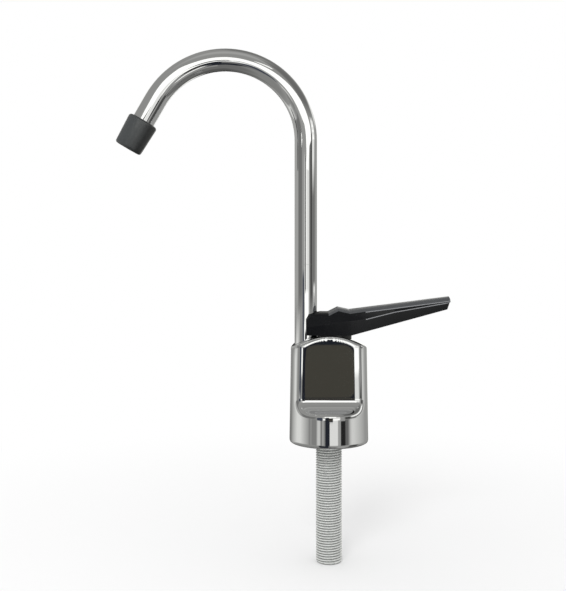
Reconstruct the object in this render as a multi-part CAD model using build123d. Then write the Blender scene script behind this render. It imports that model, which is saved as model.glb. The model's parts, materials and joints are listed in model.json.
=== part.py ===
from build123d import *

import math
import os

# All sizes are millimetres. The origin is the centre of the body's underside, where it meets
# the deck. +Z is up, the spout reaches towards -X and the lever towards +X.

# Body, a plated casting with an arched top and a scooped flat on each side
body_base_radius = 16.75
body_top_radius = 16.0
arch_radius = 29.0
arch_top = 45.3
flat_distance = 9.0
ledge_height = 14.5
cove_radius = 5.1
shell_wall = 2.0
scoop_edge_round = 1.8
top_edge_round = 0.9
base_edge_round = 0.6
overrun = 1.0
on_surface = 0.001

# Fits
running_gap = 0.05
loose_gap = 0.1
seal_gap = 0.02
seat_gap = 0.05

# Places of the two upright axes
spout_axis_x = -9.8
stem_axis_x = 3.6

# Base plate and its screws
plate_recess = 0.6
plate_thickness = 2.0
screw_offset = 11.0
screw_radius = 1.2
screw_head_radius = 2.2
screw_head_height = 1.1
screw_reach = 8.0
screw_slot_width = 0.6
boss_radius = 2.6
boss_length = 6.5

# Threaded shank, 7/16 inch with 24 threads to the inch
inch = 25.4
shank_radius = 7 / 16 * inch / 2
shank_length = 2.0 * inch
thread_pitch = inch / 24
thread_depth_share = 0.6134
thread_start = 3.0
shank_bore_radius = 2.5
tube_socket_radius = 3.25
tube_socket_depth = 15.0
shank_end_chamfer = 0.8
shank_relief_radius = 5.3
shank_flange_radius = 8.0
shank_flange_thickness = 2.2
shank_seal_inner = 3.2
shank_seal_outer = 7.0
shank_seal_thickness = 1.0

# Valve seat, chamber and water passages in the core
inlet_pocket_radius = 2.6
inlet_pocket_height = 2.2
seat_radius = 4.0
seat_thickness = 2.0
seat_bore_radius = 2.2
seat_lip_radius = 2.9
seat_lip_height = 1.2
chamber_radius = 5.0
passage_radius = 1.8
passage_rise = 3.2
sump_radius = 2.6
sump_floor_drop = 2.2
passage_plug_length = 1.8

# Bonnet, the black plug that closes the chamber and carries the lever
bonnet_body_radius = 5.35
bonnet_cap_radius = 6.0
bonnet_low = 33.0
bonnet_seat_z = 41.0
bonnet_top = 45.6
bonnet_seal_minor = 0.6
bonnet_seal_z = 38.6
stem_seal_minor = 0.6
stem_seal_z = 35.6

# Stem and the moving valve
stem_radius = 2.4
stem_collar_radius = 3.1
stem_collar_thickness = 1.2
stem_collar_rise = 1.2
stem_head_above_pin = 2.0
valve_disc_radius = 3.6
valve_disc_hole = 1.75
valve_disc_thickness = 2.0
cup_wall = 0.55
cup_base = 0.8
cup_skirt = 1.35
disc_screw_radius = 1.2
disc_screw_head_radius = 1.65
disc_screw_head_height = 1.2
disc_screw_reach = 5.0
washer_radius = 4.6
washer_thickness = 0.8

# Return spring
spring_mean_radius = 3.6
spring_wire_radius = 0.4
spring_turns = 6.5

# Lever pin
pin_radius = 1.0
pin_height = 50.0
pin_front = 6.1
pin_back = 7.0

# Spout, 3/8 inch tube bent into a gooseneck
tube_radius = 3 / 8 * inch / 2
tube_wall = 0.8
tube_low = 36.0
bend_radius = 34.2
bend_centre_z = 127.7
bend_degrees = 150.0
straight_after_bend = 10.0
tip_length = 12.6
tip_radius = 6.35
tip_end_radius = 6.0
tip_cover = 9.2
tip_outlet_radius = 4.3
tip_edge_round = 0.8

# Spigot that the tube turns on, with its seals, snap ring and thrust ring
spigot_radius = 3.4
spigot_bore_radius = 1.6
spigot_low = 19.5
spigot_collar_radius = 4.7
spigot_collar_height = 1.5
spigot_plug_length = 6.0
spigot_seal_minor = 0.55
spigot_seal_upper_z = 30.6
spigot_seal_lower_z = 26.4
snap_ring_z = 22.1
snap_ring_thickness = 0.8
snap_ring_depth = 0.75
snap_ring_proud = 0.35
snap_ring_gap = 2.4
thrust_ring_thickness = 0.6
socket_floor = 19.0

# Lever, a black moulding that straddles the spout
hub_back_x = -9.9
hub_back_top = 53.3
hub_shoulder_x = -8.4
hub_top = 55.4
gable_start_x = -0.4
gable_top = 57.4
blade_start_x = 8.5
blade_start_top = 56.5
blade_top_slope = 7.5
toe_x = 9.1
lever_under = 45.8
blade_under_slope = 15.3
lever_tip_x = 51.4
tip_bevel_length = 1.7
tip_bevel_height = 2.0
tip_side_draft = 0.3
crease_hub = 49.0
crease_root_x = 15.0
crease_root = 52.4
crease_mid_x = 27.0
crease_mid = 55.6
crease_tip = 59.8
crown_rise = 1.4
hub_half_width = 7.8
tip_half_width = 6.2
crown_inset = 0.9
under_inset = 0.5
least_facet = 0.3
fork_half_width = 5.3
fork_floor_x = -3.4
stem_slot_half_length = 3.9
stem_slot_half_width = 2.65
stem_slot_top = 53.4
pocket_wall = 1.7
pocket_start_x = 12.5
pocket_rib = 1.2
pocket_count = 3

# Heights and slopes that follow from the sizes above
arch_centre_z = arch_top - arch_radius
body_side_height = arch_centre_z + math.sqrt(arch_radius**2 - body_top_radius**2)
body_taper = (body_base_radius - body_top_radius) / body_side_height
plate_top = plate_recess + plate_thickness
flange_top = plate_top + shank_flange_thickness
inlet_pocket_low = flange_top + shank_seal_thickness
seat_low = inlet_pocket_low + inlet_pocket_height
chamber_low = seat_low + seat_thickness
disc_low = chamber_low + seat_lip_height + seat_gap
cup_low = disc_low + valve_disc_thickness
stem_low = cup_low + cup_base
collar_low = stem_low + stem_collar_rise
collar_top = collar_low + stem_collar_thickness
washer_top = collar_top + washer_thickness
passage_z = chamber_low + passage_rise
thrust_ring_low = tube_low - spigot_collar_height - thrust_ring_thickness
tube_bore_radius = tube_radius - tube_wall
cap_hole_radius = bonnet_cap_radius + loose_gap
bend_centre_x = spout_axis_x - bend_radius


def post(x, y, low, high, radius):
    """An upright cylinder between two heights."""
    return Pos(x, y, (low + high) / 2) * Cylinder(radius, high - low)


def ring(x, y, low, high, inner, outer):
    """An upright tube between two heights."""
    return post(x, y, low, high, outer) - post(x, y, low, high, inner)


def o_ring(x, z, inner, minor):
    """A round-section seal about an upright axis."""
    return Pos(x, 0, z) * Torus(inner + minor, minor)


def seal_groove(x, z, bottom, outer, minor):
    """The ring of metal that is turned away for an O-ring, from its bottom out to a radius."""
    half = minor + running_gap
    return ring(x, 0, z - half, z + half, bottom, outer)


def tall_form(inset, low):
    """The scooped, tapering body before its top is arched, drawn in by an inset all over."""
    high = arch_top + cove_radius
    base = body_base_radius - inset - body_taper * low
    top = body_base_radius - inset - body_taper * high
    form = Pos(0, 0, (low + high) / 2) * Cone(base, top, high - low)
    for side in (1, -1):
        form = form - scoop_cutter(side, inset)
    return form


def arch_solid(inset):
    """The level cylinder that the body's arched top is part of."""
    return Pos(0, 0, arch_centre_z) * Rot(90, 0, 0) * Cylinder(arch_radius - inset, 4 * body_base_radius)


def body_form(inset, low):
    """The outer form of the body, drawn in by an inset all over, from a low height up."""
    return tall_form(inset, low) & arch_solid(inset)


def scoop_cutter(side, inset):
    """What one side scoop takes away: a flat above, a cove and a level ledge below."""
    high = arch_top + cove_radius + overrun
    far = 2 * body_base_radius
    centre = (flat_distance + cove_radius, ledge_height + cove_radius)
    flat = flat_distance - inset
    ledge = ledge_height - inset
    edges = [
        Line((flat, high), (flat, centre[1])),
        CenterArc(centre, cove_radius + inset, 180, 90),
        Line((centre[0], ledge), (far, ledge)),
        Line((far, ledge), (far, high)),
        Line((far, high), (flat, high)),
    ]
    cutter = extrude(Plane.YZ * make_face(edges), far, both=True)
    if side < 0:
        cutter = mirror(cutter, Plane.XZ)
    return cutter


def outer_body():
    """The body's solid outer form with its edges rounded."""
    form = tall_form(0, 0).solid()
    scoop_edges = []
    for edge in form.edges():
        middle = edge.position_at(0.5)
        on_flat = abs(abs(middle.Y) - flat_distance) < on_surface
        upright = edge.bounding_box().size.Z > cove_radius
        if on_flat and upright:
            scoop_edges.append(edge)
    form = (form.fillet(scoop_edge_round, scoop_edges) & arch_solid(0)).solid()
    top_edges = []
    for edge in form.edges():
        middle = edge.position_at(0.5)
        from_arch_axis = math.hypot(middle.X, middle.Z - arch_centre_z)
        if abs(from_arch_axis - arch_radius) < on_surface and middle.Z > ledge_height:
            top_edges.append(edge)
    form = form.fillet(top_edge_round, top_edges)
    base_edges = form.edges().filter_by_position(Axis.Z, -on_surface, on_surface)
    return form.fillet(base_edge_round, base_edges)


def make_body_shell():
    shell = outer_body() - body_form(shell_wall, -overrun)
    for side in (1, -1):
        y = side * screw_offset
        high = ledge_height - shell_wall
        shell = shell + post(0, y, high - boss_length, high + shell_wall / 2, boss_radius)
        shell = shell - post(0, y, 0, high + shell_wall / 2, screw_radius + running_gap)
    shell = shell - spout_bore(thrust_ring_low)
    shell = shell - post(stem_axis_x, 0, bonnet_low, arch_top + overrun, cap_hole_radius)
    return shell


def spout_bore(low):
    """The hole from the top that the tube and the spigot's collar turn in."""
    return post(spout_axis_x, 0, low, arch_top + overrun, tube_radius + loose_gap)


def make_valve_core():
    core = body_form(shell_wall + loose_gap, plate_top)
    core = core - post(0, 0, plate_top, inlet_pocket_low, shank_flange_radius + running_gap)
    core = core - inlet_pocket()
    core = core - post(stem_axis_x, 0, seat_low, chamber_low, seat_radius + seal_gap)
    core = core - post(stem_axis_x, 0, chamber_low, bonnet_low, chamber_radius)
    core = core - post(stem_axis_x, 0, bonnet_low, bonnet_seat_z, bonnet_body_radius + seal_gap)
    core = core - post(stem_axis_x, 0, bonnet_seat_z, arch_top, cap_hole_radius)
    core = core - post(spout_axis_x, 0, passage_z - sump_floor_drop, socket_floor, sump_radius)
    core = core - post(spout_axis_x, 0, socket_floor, arch_top, spigot_radius + running_gap)
    core = core - spout_bore(thrust_ring_low)
    ring_half = snap_ring_thickness / 2 + running_gap
    core = core - post(
        spout_axis_x,
        0,
        snap_ring_z - ring_half,
        snap_ring_z + ring_half,
        spigot_radius + snap_ring_proud + loose_gap,
    )
    core = core - cross_passage(-body_base_radius, stem_axis_x, passage_radius)
    for side in (1, -1):
        boss_hole = post(0, side * screw_offset, plate_top, ledge_height, boss_radius + loose_gap)
        core = core - boss_hole
    return core


def inlet_pocket():
    """The flat water pocket that leads from the shank's bore across to the seat."""
    low = inlet_pocket_low
    high = seat_low
    pocket = post(0, 0, low, high, inlet_pocket_radius)
    pocket = pocket + post(stem_axis_x, 0, low, high, inlet_pocket_radius)
    middle = Pos(stem_axis_x / 2, 0, (low + high) / 2)
    return pocket + middle * Box(stem_axis_x, 2 * inlet_pocket_radius, high - low)


def cross_passage(start, end, radius):
    """A level hole along X between two places, at the passage's height."""
    middle = Pos((start + end) / 2, 0, passage_z)
    return middle * Rot(0, 90, 0) * Cylinder(radius, end - start)


def make_passage_plug():
    outer = body_base_radius - shell_wall - loose_gap
    start = -(outer - body_taper * passage_z) + passage_radius / 4
    return cross_passage(start, start + passage_plug_length, passage_radius - seal_gap)


def make_base_plate():
    radius = body_base_radius - shell_wall - loose_gap
    plate = ring(0, 0, plate_recess, plate_top, shank_relief_radius + loose_gap, radius - loose_gap)
    for side in (1, -1):
        y = side * screw_offset
        plate = plate - post(0, y, plate_recess, plate_top, screw_radius + loose_gap)
        head_room = plate_recess + screw_head_height
        plate = plate - post(0, y, plate_recess, head_room, screw_head_radius + loose_gap)
    return plate


def make_base_screws():
    screws = []
    seat = plate_recess + screw_head_height
    for side in (1, -1):
        y = side * screw_offset
        screw = post(0, y, plate_recess, seat, screw_head_radius)
        screw = screw + post(0, y, seat, seat + screw_reach, screw_radius)
        slot = Pos(0, y, plate_recess) * Box(3 * screw_radius, screw_slot_width, screw_head_height)
        screws.append(screw - slot)
    return Compound(children=screws)


def thread_outline():
    """Half of the shank's threaded length as an outline in the XZ plane, one ridge to a pitch."""
    root = shank_radius - thread_depth_share * thread_pitch
    crest_half = thread_pitch / 16
    flank = thread_pitch * 3 / 8
    points = [(0, -thread_start)]
    points.append((shank_radius, -thread_start))
    usable = shank_length - thread_start - shank_end_chamfer
    count = int(usable / thread_pitch)
    for index in range(count):
        z = -thread_start - index * thread_pitch
        points.append((root, z - flank - crest_half))
        points.append((root, z - flank - 3 * crest_half))
        points.append((shank_radius, z - thread_pitch + crest_half))
        points.append((shank_radius, z - thread_pitch))
    points.append((shank_radius, -shank_length + shank_end_chamfer))
    points.append((shank_radius - shank_end_chamfer, -shank_length))
    points.append((0, -shank_length))
    return points


def make_shank():
    outline = make_face(Polyline(*thread_outline(), close=True))
    shank = revolve(Plane.XZ * outline, Axis.Z)
    shank = shank + post(0, 0, -thread_start, 0, shank_radius)
    shank = shank + post(0, 0, 0, plate_top, shank_relief_radius)
    shank = shank + post(0, 0, plate_top, flange_top, shank_flange_radius)
    shank = shank - post(0, 0, -shank_length, flange_top, shank_bore_radius)
    socket_top = -shank_length + tube_socket_depth
    return shank - post(0, 0, -shank_length, socket_top, tube_socket_radius)


def make_shank_seal():
    return ring(0, 0, flange_top, inlet_pocket_low, shank_seal_inner, shank_seal_outer)


def make_valve_seat():
    x = stem_axis_x
    seat = ring(x, 0, seat_low, chamber_low, seat_bore_radius, seat_radius)
    lip_top = chamber_low + seat_lip_height
    return seat + ring(x, 0, chamber_low, lip_top, seat_bore_radius, seat_lip_radius)


def make_bonnet():
    x = stem_axis_x
    bonnet = post(x, 0, bonnet_low, bonnet_seat_z, bonnet_body_radius)
    bonnet = bonnet + post(x, 0, bonnet_seat_z, bonnet_top, bonnet_cap_radius)
    bonnet = bonnet - post(x, 0, bonnet_low, bonnet_top, stem_radius + running_gap)
    outer_bottom = bonnet_body_radius - 2 * bonnet_seal_minor - seal_gap
    outer = 2 * bonnet_body_radius
    bonnet = bonnet - seal_groove(x, bonnet_seal_z, outer_bottom, outer, bonnet_seal_minor)
    inner_bottom = stem_radius + running_gap + 2 * stem_seal_minor + seal_gap
    return bonnet - seal_groove(x, stem_seal_z, stem_radius, inner_bottom, stem_seal_minor)


def make_bonnet_seal():
    inner = bonnet_body_radius - 2 * bonnet_seal_minor
    return o_ring(stem_axis_x, bonnet_seal_z, inner, bonnet_seal_minor)


def make_stem_seal():
    return o_ring(stem_axis_x, stem_seal_z, stem_radius + running_gap, stem_seal_minor)


def make_valve_stem():
    x = stem_axis_x
    head = pin_height + stem_head_above_pin
    stem = post(x, 0, stem_low, head, stem_radius)
    stem = stem + post(x, 0, collar_low, collar_top, stem_collar_radius)
    tap = disc_screw_reach - cup_base + loose_gap
    stem = stem - post(x, 0, stem_low, stem_low + tap, disc_screw_radius + seal_gap)
    cross_hole = Rot(90, 0, 0) * Cylinder(pin_radius + running_gap, 4 * stem_radius)
    stem = stem - Pos(x, 0, pin_height) * cross_hole
    return stem


def make_spring_washer():
    inner = stem_radius + running_gap
    return ring(stem_axis_x, 0, collar_top, washer_top, inner, washer_radius)


def make_valve_disc():
    return ring(stem_axis_x, 0, disc_low, cup_low, valve_disc_hole, valve_disc_radius)


def make_disc_cup():
    x = stem_axis_x
    inner = valve_disc_radius + seal_gap
    cup = ring(x, 0, cup_low, stem_low, disc_screw_radius + seal_gap, inner + cup_wall)
    return cup + ring(x, 0, cup_low - cup_skirt, cup_low, inner, inner + cup_wall)


def make_disc_screw():
    x = stem_axis_x
    head_low = cup_low - disc_screw_head_height
    screw = post(x, 0, head_low, cup_low, disc_screw_head_radius)
    screw = screw + post(x, 0, cup_low, cup_low + disc_screw_reach, disc_screw_radius)
    slot = Pos(x, 0, head_low) * Box(2 * disc_screw_head_radius, screw_slot_width, disc_screw_head_height)
    return screw - slot


def make_return_spring():
    low = washer_top + spring_wire_radius + running_gap
    high = bonnet_low - spring_wire_radius - running_gap
    pitch = (high - low) / spring_turns
    print("return spring least gap between turns", round(pitch - 2 * spring_wire_radius, 3))
    path = Helix(pitch, high - low, spring_mean_radius, center=(stem_axis_x, 0, low))
    section = Plane(origin=path @ 0, z_dir=path % 0) * Circle(spring_wire_radius)
    return sweep(section, path=path, is_frenet=True)


def make_lever_pin():
    length = pin_front + pin_back
    place = Pos(stem_axis_x, (pin_back - pin_front) / 2, pin_height)
    return place * Rot(90, 0, 0) * Cylinder(pin_radius, length)


def spout_path():
    """The tube's centre line: up, round the bend and down towards the outlet."""
    bend_centre = (bend_centre_x, bend_centre_z)
    up = Line((spout_axis_x, tube_low), (spout_axis_x, bend_centre_z))
    bend = CenterArc(bend_centre, bend_radius, 0, bend_degrees)
    end = bend @ 1
    heading = bend % 1
    down = Line(end, end + heading * (straight_after_bend + tip_cover))
    return Plane.XZ * Wire([up, bend, down]), end, heading


def outlet_plane():
    """The plane across the tube where the tip begins, facing the way the water leaves."""
    _, end, heading = spout_path()
    start = end + heading * straight_after_bend
    return Plane(origin=(start.X, 0, start.Y), z_dir=(heading.X, 0, heading.Y))


def make_spout_tube():
    path, _, _ = spout_path()
    section = Circle(tube_radius) - Circle(tube_bore_radius)
    return sweep(Pos(spout_axis_x, 0, tube_low) * section, path=path)


def make_spout_tip():
    outline = Cone(tip_radius, tip_end_radius, tip_length)
    tip = Pos(0, 0, tip_length / 2) * outline
    tip = tip.solid().fillet(tip_edge_round, tip.edges().filter_by(GeomType.CIRCLE))
    tip = tip - post(0, 0, 0, tip_cover + seal_gap, tube_radius + seal_gap)
    tip = tip - post(0, 0, 0, tip_length, tip_outlet_radius)
    return outlet_plane() * tip


def make_spout_spigot():
    x = spout_axis_x
    collar_low_z = tube_low - spigot_collar_height
    spigot = post(x, 0, spigot_low, collar_low_z, spigot_radius)
    spigot = spigot + post(x, 0, collar_low_z, tube_low, spigot_collar_radius)
    plug_radius = tube_bore_radius - seal_gap
    spigot = spigot + post(x, 0, tube_low, tube_low + spigot_plug_length, plug_radius)
    spigot = spigot - post(x, 0, spigot_low, tube_low + spigot_plug_length, spigot_bore_radius)
    bottom = spigot_radius - 2 * spigot_seal_minor - seal_gap
    for z in (spigot_seal_upper_z, spigot_seal_lower_z):
        spigot = spigot - seal_groove(x, z, bottom, 2 * spigot_radius, spigot_seal_minor)
    half = snap_ring_thickness / 2 + running_gap
    groove_bottom = spigot_radius - snap_ring_depth - running_gap
    low = snap_ring_z - half
    high = snap_ring_z + half
    return spigot - ring(x, 0, low, high, groove_bottom, 2 * spigot_radius)


def make_spout_seal(z):
    inner = spigot_radius - 2 * spigot_seal_minor
    return o_ring(spout_axis_x, z, inner, spigot_seal_minor)


def make_spout_clip():
    half = snap_ring_thickness / 2
    inner = spigot_radius - snap_ring_depth
    outer = spigot_radius + snap_ring_proud
    clip = ring(spout_axis_x, 0, snap_ring_z - half, snap_ring_z + half, inner, outer)
    mouth = Box(2 * outer, snap_ring_gap, 2 * snap_ring_thickness)
    return clip - Pos(spout_axis_x + outer, 0, snap_ring_z) * mouth


def make_spout_bearing():
    inner = spigot_radius + running_gap
    high = thrust_ring_low + thrust_ring_thickness
    return ring(spout_axis_x, 0, thrust_ring_low, high, inner, spigot_collar_radius)


def between(x, points):
    """The height at a place along a line of points that run from low X to high X."""
    for (x0, z0), (x1, z1) in zip(points, points[1:]):
        if x <= x1:
            return z0 + (z1 - z0) * (x - x0) / (x1 - x0)
    return points[-1][1]


def lever_lines():
    """The lever's top, crease and underside as seen from the side."""
    end = lever_tip_x
    top_rise = math.tan(math.radians(blade_top_slope)) * (end - blade_start_x)
    under_rise = math.tan(math.radians(blade_under_slope)) * (end - toe_x)
    top = [
        (hub_back_x, hub_back_top),
        (hub_shoulder_x, hub_top),
        (gable_start_x, hub_top),
        (stem_axis_x, gable_top),
        (blade_start_x, blade_start_top),
        (end, blade_start_top + top_rise),
    ]
    crease = [
        (hub_back_x, crease_hub),
        (crease_root_x, crease_root),
        (crease_mid_x, crease_mid),
        (end, crease_tip),
    ]
    under = [
        (hub_back_x, lever_under),
        (toe_x, lever_under),
        (end, lever_under + under_rise),
    ]
    return top, crease, under


def lever_half_width(x):
    """Half the lever's width at its crease."""
    line = [(hub_back_x, hub_half_width), (toe_x, hub_half_width), (lever_tip_x, tip_half_width)]
    return between(x, line)


def lever_section(x, side_draft, under_raise):
    """One upright slice across the lever: a crowned top over creased side walls."""
    top_line, crease_line, under_line = lever_lines()
    top = between(x, top_line)
    crease = between(x, crease_line)
    under = between(x, under_line) + under_raise
    half = lever_half_width(x) - side_draft
    half_top = half - crown_inset
    half_under = half - under_inset
    edge = top - crown_rise
    crease = min(crease, edge - least_facet)
    edges = [
        ThreePointArc((-half_top, edge), (0, top), (half_top, edge)),
        Line((half_top, edge), (half, crease)),
        Line((half, crease), (half_under, under)),
        Line((half_under, under), (-half_under, under)),
        Line((-half_under, under), (-half, crease)),
        Line((-half, crease), (-half_top, edge)),
    ]
    return Plane.YZ.offset(x) * make_face(edges)


def lever_blank():
    """The lever's outer form, ruled between its slices."""
    end = lever_tip_x - tip_bevel_length
    stations = [
        hub_back_x,
        hub_shoulder_x,
        gable_start_x,
        stem_axis_x,
        blade_start_x,
        toe_x,
        crease_root_x,
        crease_mid_x,
        end,
    ]
    slices = [lever_section(x, 0, 0) for x in stations]
    slices.append(lever_section(lever_tip_x, tip_side_draft, tip_bevel_height))
    return loft(slices, ruled=True)


def lever_pockets():
    """The hollows under the blade, which leave an even wall and cross ribs."""
    end = lever_tip_x - tip_bevel_length - pocket_wall
    step = (end - pocket_start_x + pocket_rib) / pocket_count
    top_line, _, under_line = lever_lines()
    pockets = []
    for index in range(pocket_count):
        start = pocket_start_x + index * step
        faces = []
        for x in (start, start + step - pocket_rib):
            half = lever_half_width(x) - crown_inset - pocket_wall
            low = between(x, under_line) - pocket_wall
            high = between(x, top_line) - crown_rise - pocket_wall
            corners = [(-half, low), (half, low), (half, high), (-half, high)]
            faces.append(Plane.YZ.offset(x) * make_face(Polyline(*corners, close=True)))
        pockets.append(loft(faces, ruled=True))
    return pockets


def make_lever():
    lever = lever_blank()
    fork_centre = fork_floor_x - fork_half_width
    low = lever_under - overrun
    high = gable_top + overrun
    lever = lever - post(fork_centre, 0, low, high, fork_half_width)
    reach = fork_centre - hub_back_x + overrun
    mouth = Pos(fork_centre - reach / 2, 0, (low + high) / 2)
    lever = lever - mouth * Box(reach, 2 * fork_half_width, high - low)
    slot = Box(2 * stem_slot_half_length, 2 * stem_slot_half_width, stem_slot_top - low)
    lever = lever - Pos(stem_axis_x, 0, (stem_slot_top + low) / 2) * slot
    back = 2 * hub_half_width
    hole = Rot(90, 0, 0) * Cylinder(pin_radius + running_gap, pin_front + seal_gap + back)
    lever = lever - Pos(stem_axis_x, (back - pin_front - seal_gap) / 2, pin_height) * hole
    for pocket in lever_pockets():
        lever = lever - pocket
    return lever


def main():
    os.makedirs("parts", exist_ok=True)
    pieces = {
        "body_shell": make_body_shell(),
        "valve_core": make_valve_core(),
        "passage_plug": make_passage_plug(),
        "base_plate": make_base_plate(),
        "base_screws": make_base_screws(),
        "shank": make_shank(),
        "shank_seal": make_shank_seal(),
        "valve_seat": make_valve_seat(),
        "bonnet": make_bonnet(),
        "bonnet_seal": make_bonnet_seal(),
        "stem_seal": make_stem_seal(),
        "spout_bearing": make_spout_bearing(),
        "spout_tube": make_spout_tube(),
        "spout_tip": make_spout_tip(),
        "spout_spigot": make_spout_spigot(),
        "spout_seal_upper": make_spout_seal(spigot_seal_upper_z),
        "spout_seal_lower": make_spout_seal(spigot_seal_lower_z),
        "spout_clip": make_spout_clip(),
        "return_spring": make_return_spring(),
        "valve_stem": make_valve_stem(),
        "spring_washer": make_spring_washer(),
        "valve_disc": make_valve_disc(),
        "disc_cup": make_disc_cup(),
        "disc_screw": make_disc_screw(),
        "lever_pin": make_lever_pin(),
        "lever": make_lever(),
    }
    for name, piece in pieces.items():
        export_step(piece, f"parts/{name}.step")


main()
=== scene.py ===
import json
import math

import bpy
import numpy as np
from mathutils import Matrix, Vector


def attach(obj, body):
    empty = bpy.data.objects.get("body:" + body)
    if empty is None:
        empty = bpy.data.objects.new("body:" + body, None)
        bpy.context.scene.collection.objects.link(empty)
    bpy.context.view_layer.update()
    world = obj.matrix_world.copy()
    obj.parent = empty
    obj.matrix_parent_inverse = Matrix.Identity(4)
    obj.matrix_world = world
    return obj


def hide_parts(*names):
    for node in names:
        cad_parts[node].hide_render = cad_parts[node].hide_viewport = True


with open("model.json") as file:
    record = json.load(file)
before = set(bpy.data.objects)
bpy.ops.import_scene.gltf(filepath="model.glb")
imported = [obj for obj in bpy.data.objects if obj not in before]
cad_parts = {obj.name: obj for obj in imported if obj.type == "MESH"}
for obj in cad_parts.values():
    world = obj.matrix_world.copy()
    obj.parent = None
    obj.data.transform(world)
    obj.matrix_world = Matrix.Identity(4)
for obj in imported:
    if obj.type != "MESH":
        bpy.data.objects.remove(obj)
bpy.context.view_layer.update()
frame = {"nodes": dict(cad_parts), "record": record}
nodes = frame["nodes"]

# All lengths are metres in the CAD model's frame. +Z is up, the spout reaches towards -X and
# the lever towards +X, and the photograph was taken from -Y.
MM = 0.001

# Body, in millimetres as in the CAD model, with the softer edges of a polished casting
BODY_BASE_RADIUS = 16.75
BODY_TAPER = 0.75 / 45.3
ARCH_RADIUS = 29.0
ARCH_CENTRE_Z = 16.3
FLAT_DISTANCE = 9.0
LEDGE_HEIGHT = 14.5
COVE_RADIUS = 5.1
SHELL_WALL = 2.0
SPOUT_X = -9.8
STEM_X = 3.6
SPOUT_HOLE_RADIUS = 4.8625
CAP_HOLE_RADIUS = 6.1
SIDE_SOFTNESS = 3.4
TOP_SOFTNESS = 1.4
TOP_SOFTNESS_REACH = 11.0
LIP_SOFTNESS = 3.4
CORNER_SOFTNESS = 1.0
BASE_SOFTNESS = 2.2
BODY_CENTRE_Z = 8.0
BODY_REACH = 60.0
BODY_GRID = (400, 320)
CAVITY_GRID = (120, 90)
CAVITY_LOW = -6.0
TOP_HOLE_HEIGHTS = (30, 60)
SLOPE_STEP = 0.01

# Lever, in millimetres: its lines as seen from the side, as (x, z) pairs. Each slice across it
# has its points in one order, and two lists name the strips between them that get painted highlight
# lines and a painted paler top band.
LEVER_END = 50.7
LEVER_TOP = [(-9.9, 53.3), (-8.4, 55.4), (-0.4, 55.4), (3.6, 57.4), (8.5, 56.3), (51.4, 61.8)]
LEVER_CREASE = [(-9.9, 49.0), (15.0, 52.3), (27.0, 55.3), (51.4, 59.5)]
LEVER_UNDER = [(-9.9, 45.6), (9.1, 45.6), (51.4, 57.0)]
LEVER_HALF = [(-9.9, 7.8), (9.1, 7.8), (51.4, 6.2)]
LEVER_CROWN = 2.2
LEVER_CROWN_REACH = 0.93
LEVER_CROWN_INSET = 0.9
LEVER_UNDER_INSET = 0.5
LEVER_STATIONS = [-9.9, -8.4, -0.4, 3.6, 8.5, 9.1, 15.0, 27.0]
LEVER_CROWN_STEPS = 8
LEVER_LINE = 0.17
LEVER_LINE_GAP = 0.22
# Strips along the creases and the crown's edge that get a painted highlight, and the crown's strips
# that get a painted lighter band standing in for the light on the top.
LEVER_HIGHLIGHT_LINES = (1, 4, 17, 20)
LEVER_LIGHT_BAND = range(5, 17)
LEVER_LIGHT_BAND_START = 2
LEVER_HIGHLIGHT_START = 6
LEVER_SOFTENING = 0.36
LEVER_SOFTENING_ANGLE = 9
LEVER_CUT_HEIGHTS = (40, 60)
LEVER_END_BEVEL = (1.5, 2.3)
LEVER_END_LEAN = 0.5
LEVER_END_DRAFT = 0.3
FORK_HALF = 5.3
FORK_FLOOR_X = -3.4
FORK_MOUTH_X = -20.0
STEM_SLOT = (3.9, 2.65, 53.4)
PIN_Z = 50.0
PIN_HOLE_RADIUS = 1.05
PIN_HOLE_FRONT = -6.12
PIN_HOLE_BACK = 12.0
POCKET_WALL = 1.7
POCKET_START_X = 12.5
POCKET_RIB = 1.2
POCKET_COUNT = 3

# Shank, in millimetres
INCH = 25.4
SHANK_RADIUS = 7 / 32 * INCH
SHANK_LENGTH = 2.0 * INCH
SHANK_BORE = 2.5
SHANK_SOCKET = 3.25
SHANK_SOCKET_DEPTH = 15.0
SHANK_END_CHAMFER = 0.8
SHANK_RELIEF = 5.3
SHANK_FLANGE_RADIUS = 8.0
SHANK_FLANGE_LOW = 2.6
SHANK_FLANGE_TOP = 4.8
THREAD_PITCH = INCH / 24
THREAD_DEPTH = 0.6134 * THREAD_PITCH
THREAD_NECK = 0.6
THREAD_ROWS = 10
THREAD_FLAT_SHARE = 0.12
THREAD_CREST = (0.95, 0.965, 0.945)
# Painted shade for the roots of the thread's grooves.
THREAD_GROOVE_SHADE = (0.33, 0.34, 0.33)
THREAD_METALLIC = 0.3

# Spout tip, in millimetres along and round its own axis
TIP_START = (-78.618, 136.14)
TIP_TILT = 30.0
TIP_LENGTH = 13.6
TIP_RADIUS = 6.5
TIP_END_RADIUS = 6.0
TIP_ROUND = 1.1
TIP_ROUND_STEPS = 6
TIP_SOCKET = 4.81
TIP_SOCKET_DEPTH = 9.2
TIP_OUTLET = 4.3
TIP_OUTLET_CHAMFER = 0.3

# Camera
CAMERA_PLACE = Vector((-19.49, -359.34, 75.89)) * MM
CAMERA_PITCH = 0.215
CAMERA_LENS = 51.56
CAMERA_SENSOR = 36.0
CAMERA_SHIFT = -0.05

# Studio, in metres and degrees
FLOOR_Z = -50.8 * MM
FLOOR_SIZE = 6.0
FLOOR_FADE = (0.05, 0.30)
WORLD_LIGHT = 0.9
SURROUND_CENTRE = Vector((0.0, 0.0, 60.0)) * MM
SURROUND_DISTANCE = 2.0
SURROUND_LAYER_SHARE = 0.04
SURROUND_STEP = 4.0
KEY_PLACE = Vector((-280.0, -950.0, 750.0)) * MM
KEY_SIZE = 0.5
KEY_POWER = 4.0
TIP_LAMP_PLACE = Vector((-190.0, -150.0, 190.0)) * MM
TIP_LAMP_AIM = Vector((-82.0, 0.0, 130.0)) * MM
TIP_LAMP_CONE = 13
TIP_LAMP_RADIUS = 0.012
TIP_LAMP_POWER = 5.0

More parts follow.
